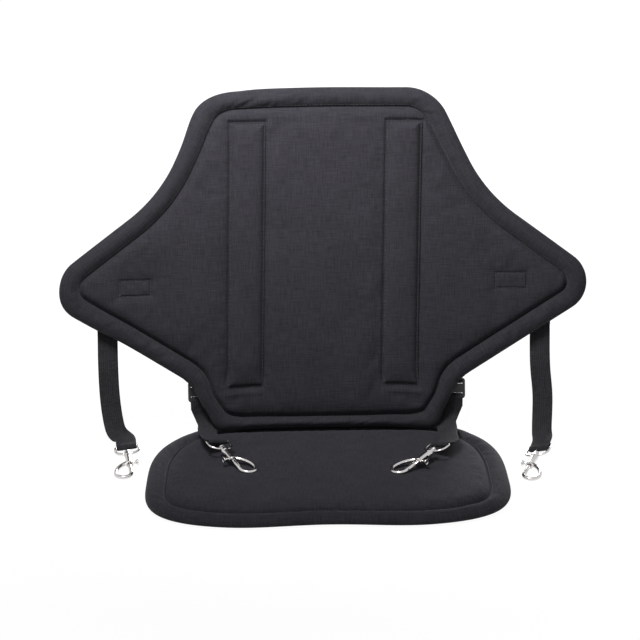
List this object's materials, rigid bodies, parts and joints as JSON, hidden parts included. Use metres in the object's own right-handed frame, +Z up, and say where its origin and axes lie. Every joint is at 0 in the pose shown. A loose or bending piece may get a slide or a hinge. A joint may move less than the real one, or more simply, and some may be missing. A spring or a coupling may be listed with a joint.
{
  "type": "kayak seat",
  "caption": "Padded kayak seat: a winged backrest sewn to a flat seat pad, with webbing straps that end in swivel bolt snaps.",
  "frame": {"origin": "centre of the seat pad's underside, on the surface that it rests on", "axes": "+X to the right of someone who faces the seat, +Z up, the front of the seat towards -Y"},
  "size_m": [0.516, 0.3019, 0.3443],
  "materials": {
    "cover_fabric": "plain-woven black polyester with a soft sheen",
    "edge_tape": "folded black binding tape",
    "webbing": "flat ribbed black webbing",
    "foam": "closed-cell foam",
    "black_plastic": "moulded black plastic",
    "bright_metal": "polished nickel plate",
    "spring_steel": "drawn spring wire"
  },
  "bodies": {
    "root": {"backrest_edge_tape": "edge_tape", "backrest_foam": "foam", "backrest_front_cover": "cover_fabric", "backrest_rear_cover": "cover_fabric", "hinge_strip": "edge_tape", "left_stay": "black_plastic", "left_stay_pocket": "cover_fabric", "lower_left_adjuster": "black_plastic", "lower_left_anchor": "webbing", "lower_left_snap_eye": "bright_metal", "lower_left_strap": "webbing", "lower_right_adjuster": "black_plastic", "lower_right_anchor": "webbing", "lower_right_snap_eye": "bright_metal", "lower_right_strap": "webbing", "right_stay": "black_plastic", "right_stay_pocket": "cover_fabric", "seat_bottom_cover": "cover_fabric", "seat_edge_tape": "edge_tape", "seat_foam": "foam", "seat_top_cover": "cover_fabric", "upper_left_adjuster": "black_plastic", "upper_left_anchor": "webbing", "upper_left_snap_eye": "bright_metal", "upper_left_strap": "webbing", "upper_right_adjuster": "black_plastic", "upper_right_anchor": "webbing", "upper_right_snap_eye": "bright_metal", "upper_right_strap": "webbing"},
    "upper_left_snap": {"upper_left_snap_body": "bright_metal", "upper_left_snap_spring": "spring_steel"},
    "upper_left_bolt": {"upper_left_snap_bolt": "bright_metal"},
    "upper_right_snap": {"upper_right_snap_body": "bright_metal", "upper_right_snap_spring": "spring_steel"},
    "upper_right_bolt": {"upper_right_snap_bolt": "bright_metal"},
    "lower_left_snap": {"lower_left_snap_body": "bright_metal", "lower_left_snap_spring": "spring_steel"},
    "lower_left_bolt": {"lower_left_snap_bolt": "bright_metal"},
    "lower_right_snap": {"lower_right_snap_body": "bright_metal", "lower_right_snap_spring": "spring_steel"},
    "lower_right_bolt": {"lower_right_snap_bolt": "bright_metal"}
  },
  "joints": [
    {"name": "upper_left_snap_swivel", "type": "hinge", "parent": "root", "child": "upper_left_snap", "pos_m": [-0.19443, 0.05691, 0.00752], "axis": [0.1436, -0.9841, -0.1045], "continuous": true},
    {"name": "upper_left_bolt_slide", "type": "slide", "parent": "upper_left_snap", "child": "upper_left_bolt", "axis": [-0.1436, 0.9841, 0.1045], "range_m": [0, 0.008], "stiffness_N_per_m": 300, "springref_m": -0.008, "deforming": ["upper_left_snap_spring"]},
    {"name": "upper_right_snap_swivel", "type": "hinge", "parent": "root", "child": "upper_right_snap", "pos_m": [0.20363, 0.03525, 0.00752], "axis": [-0.3596, -0.9272, -0.1045], "continuous": true},
    {"name": "upper_right_bolt_slide", "type": "slide", "parent": "upper_right_snap", "child": "upper_right_bolt", "axis": [0.3596, 0.9272, 0.1045], "range_m": [0, 0.008], "stiffness_N_per_m": 300, "springref_m": -0.008, "deforming": ["upper_right_snap_spring"]},
    {"name": "lower_left_snap_swivel", "type": "hinge", "parent": "root", "child": "lower_left_snap", "pos_m": [-0.10007, 0.02655, 0.02284], "axis": [0.4255, -0.8881, -0.1736], "range_deg": [0, 28]},
    {"name": "lower_left_bolt_slide", "type": "slide", "parent": "lower_left_snap", "child": "lower_left_bolt", "axis": [-0.4255, 0.8881, 0.1736], "range_m": [0, 0.008], "stiffness_N_per_m": 300, "springref_m": -0.008, "deforming": ["lower_left_snap_spring"]},
    {"name": "lower_right_snap_swivel", "type": "hinge", "parent": "root", "child": "lower_right_snap", "pos_m": [0.10119, 0.01128, 0.02284], "axis": [-0.6317, -0.7555, -0.1736], "range_deg": [-28, 0]},
    {"name": "lower_right_bolt_slide", "type": "slide", "parent": "lower_right_snap", "child": "lower_right_bolt", "axis": [0.6317, 0.7555, 0.1736], "range_m": [0, 0.008], "stiffness_N_per_m": 300, "springref_m": -0.008, "deforming": ["lower_right_snap_spring"]}
  ]
}
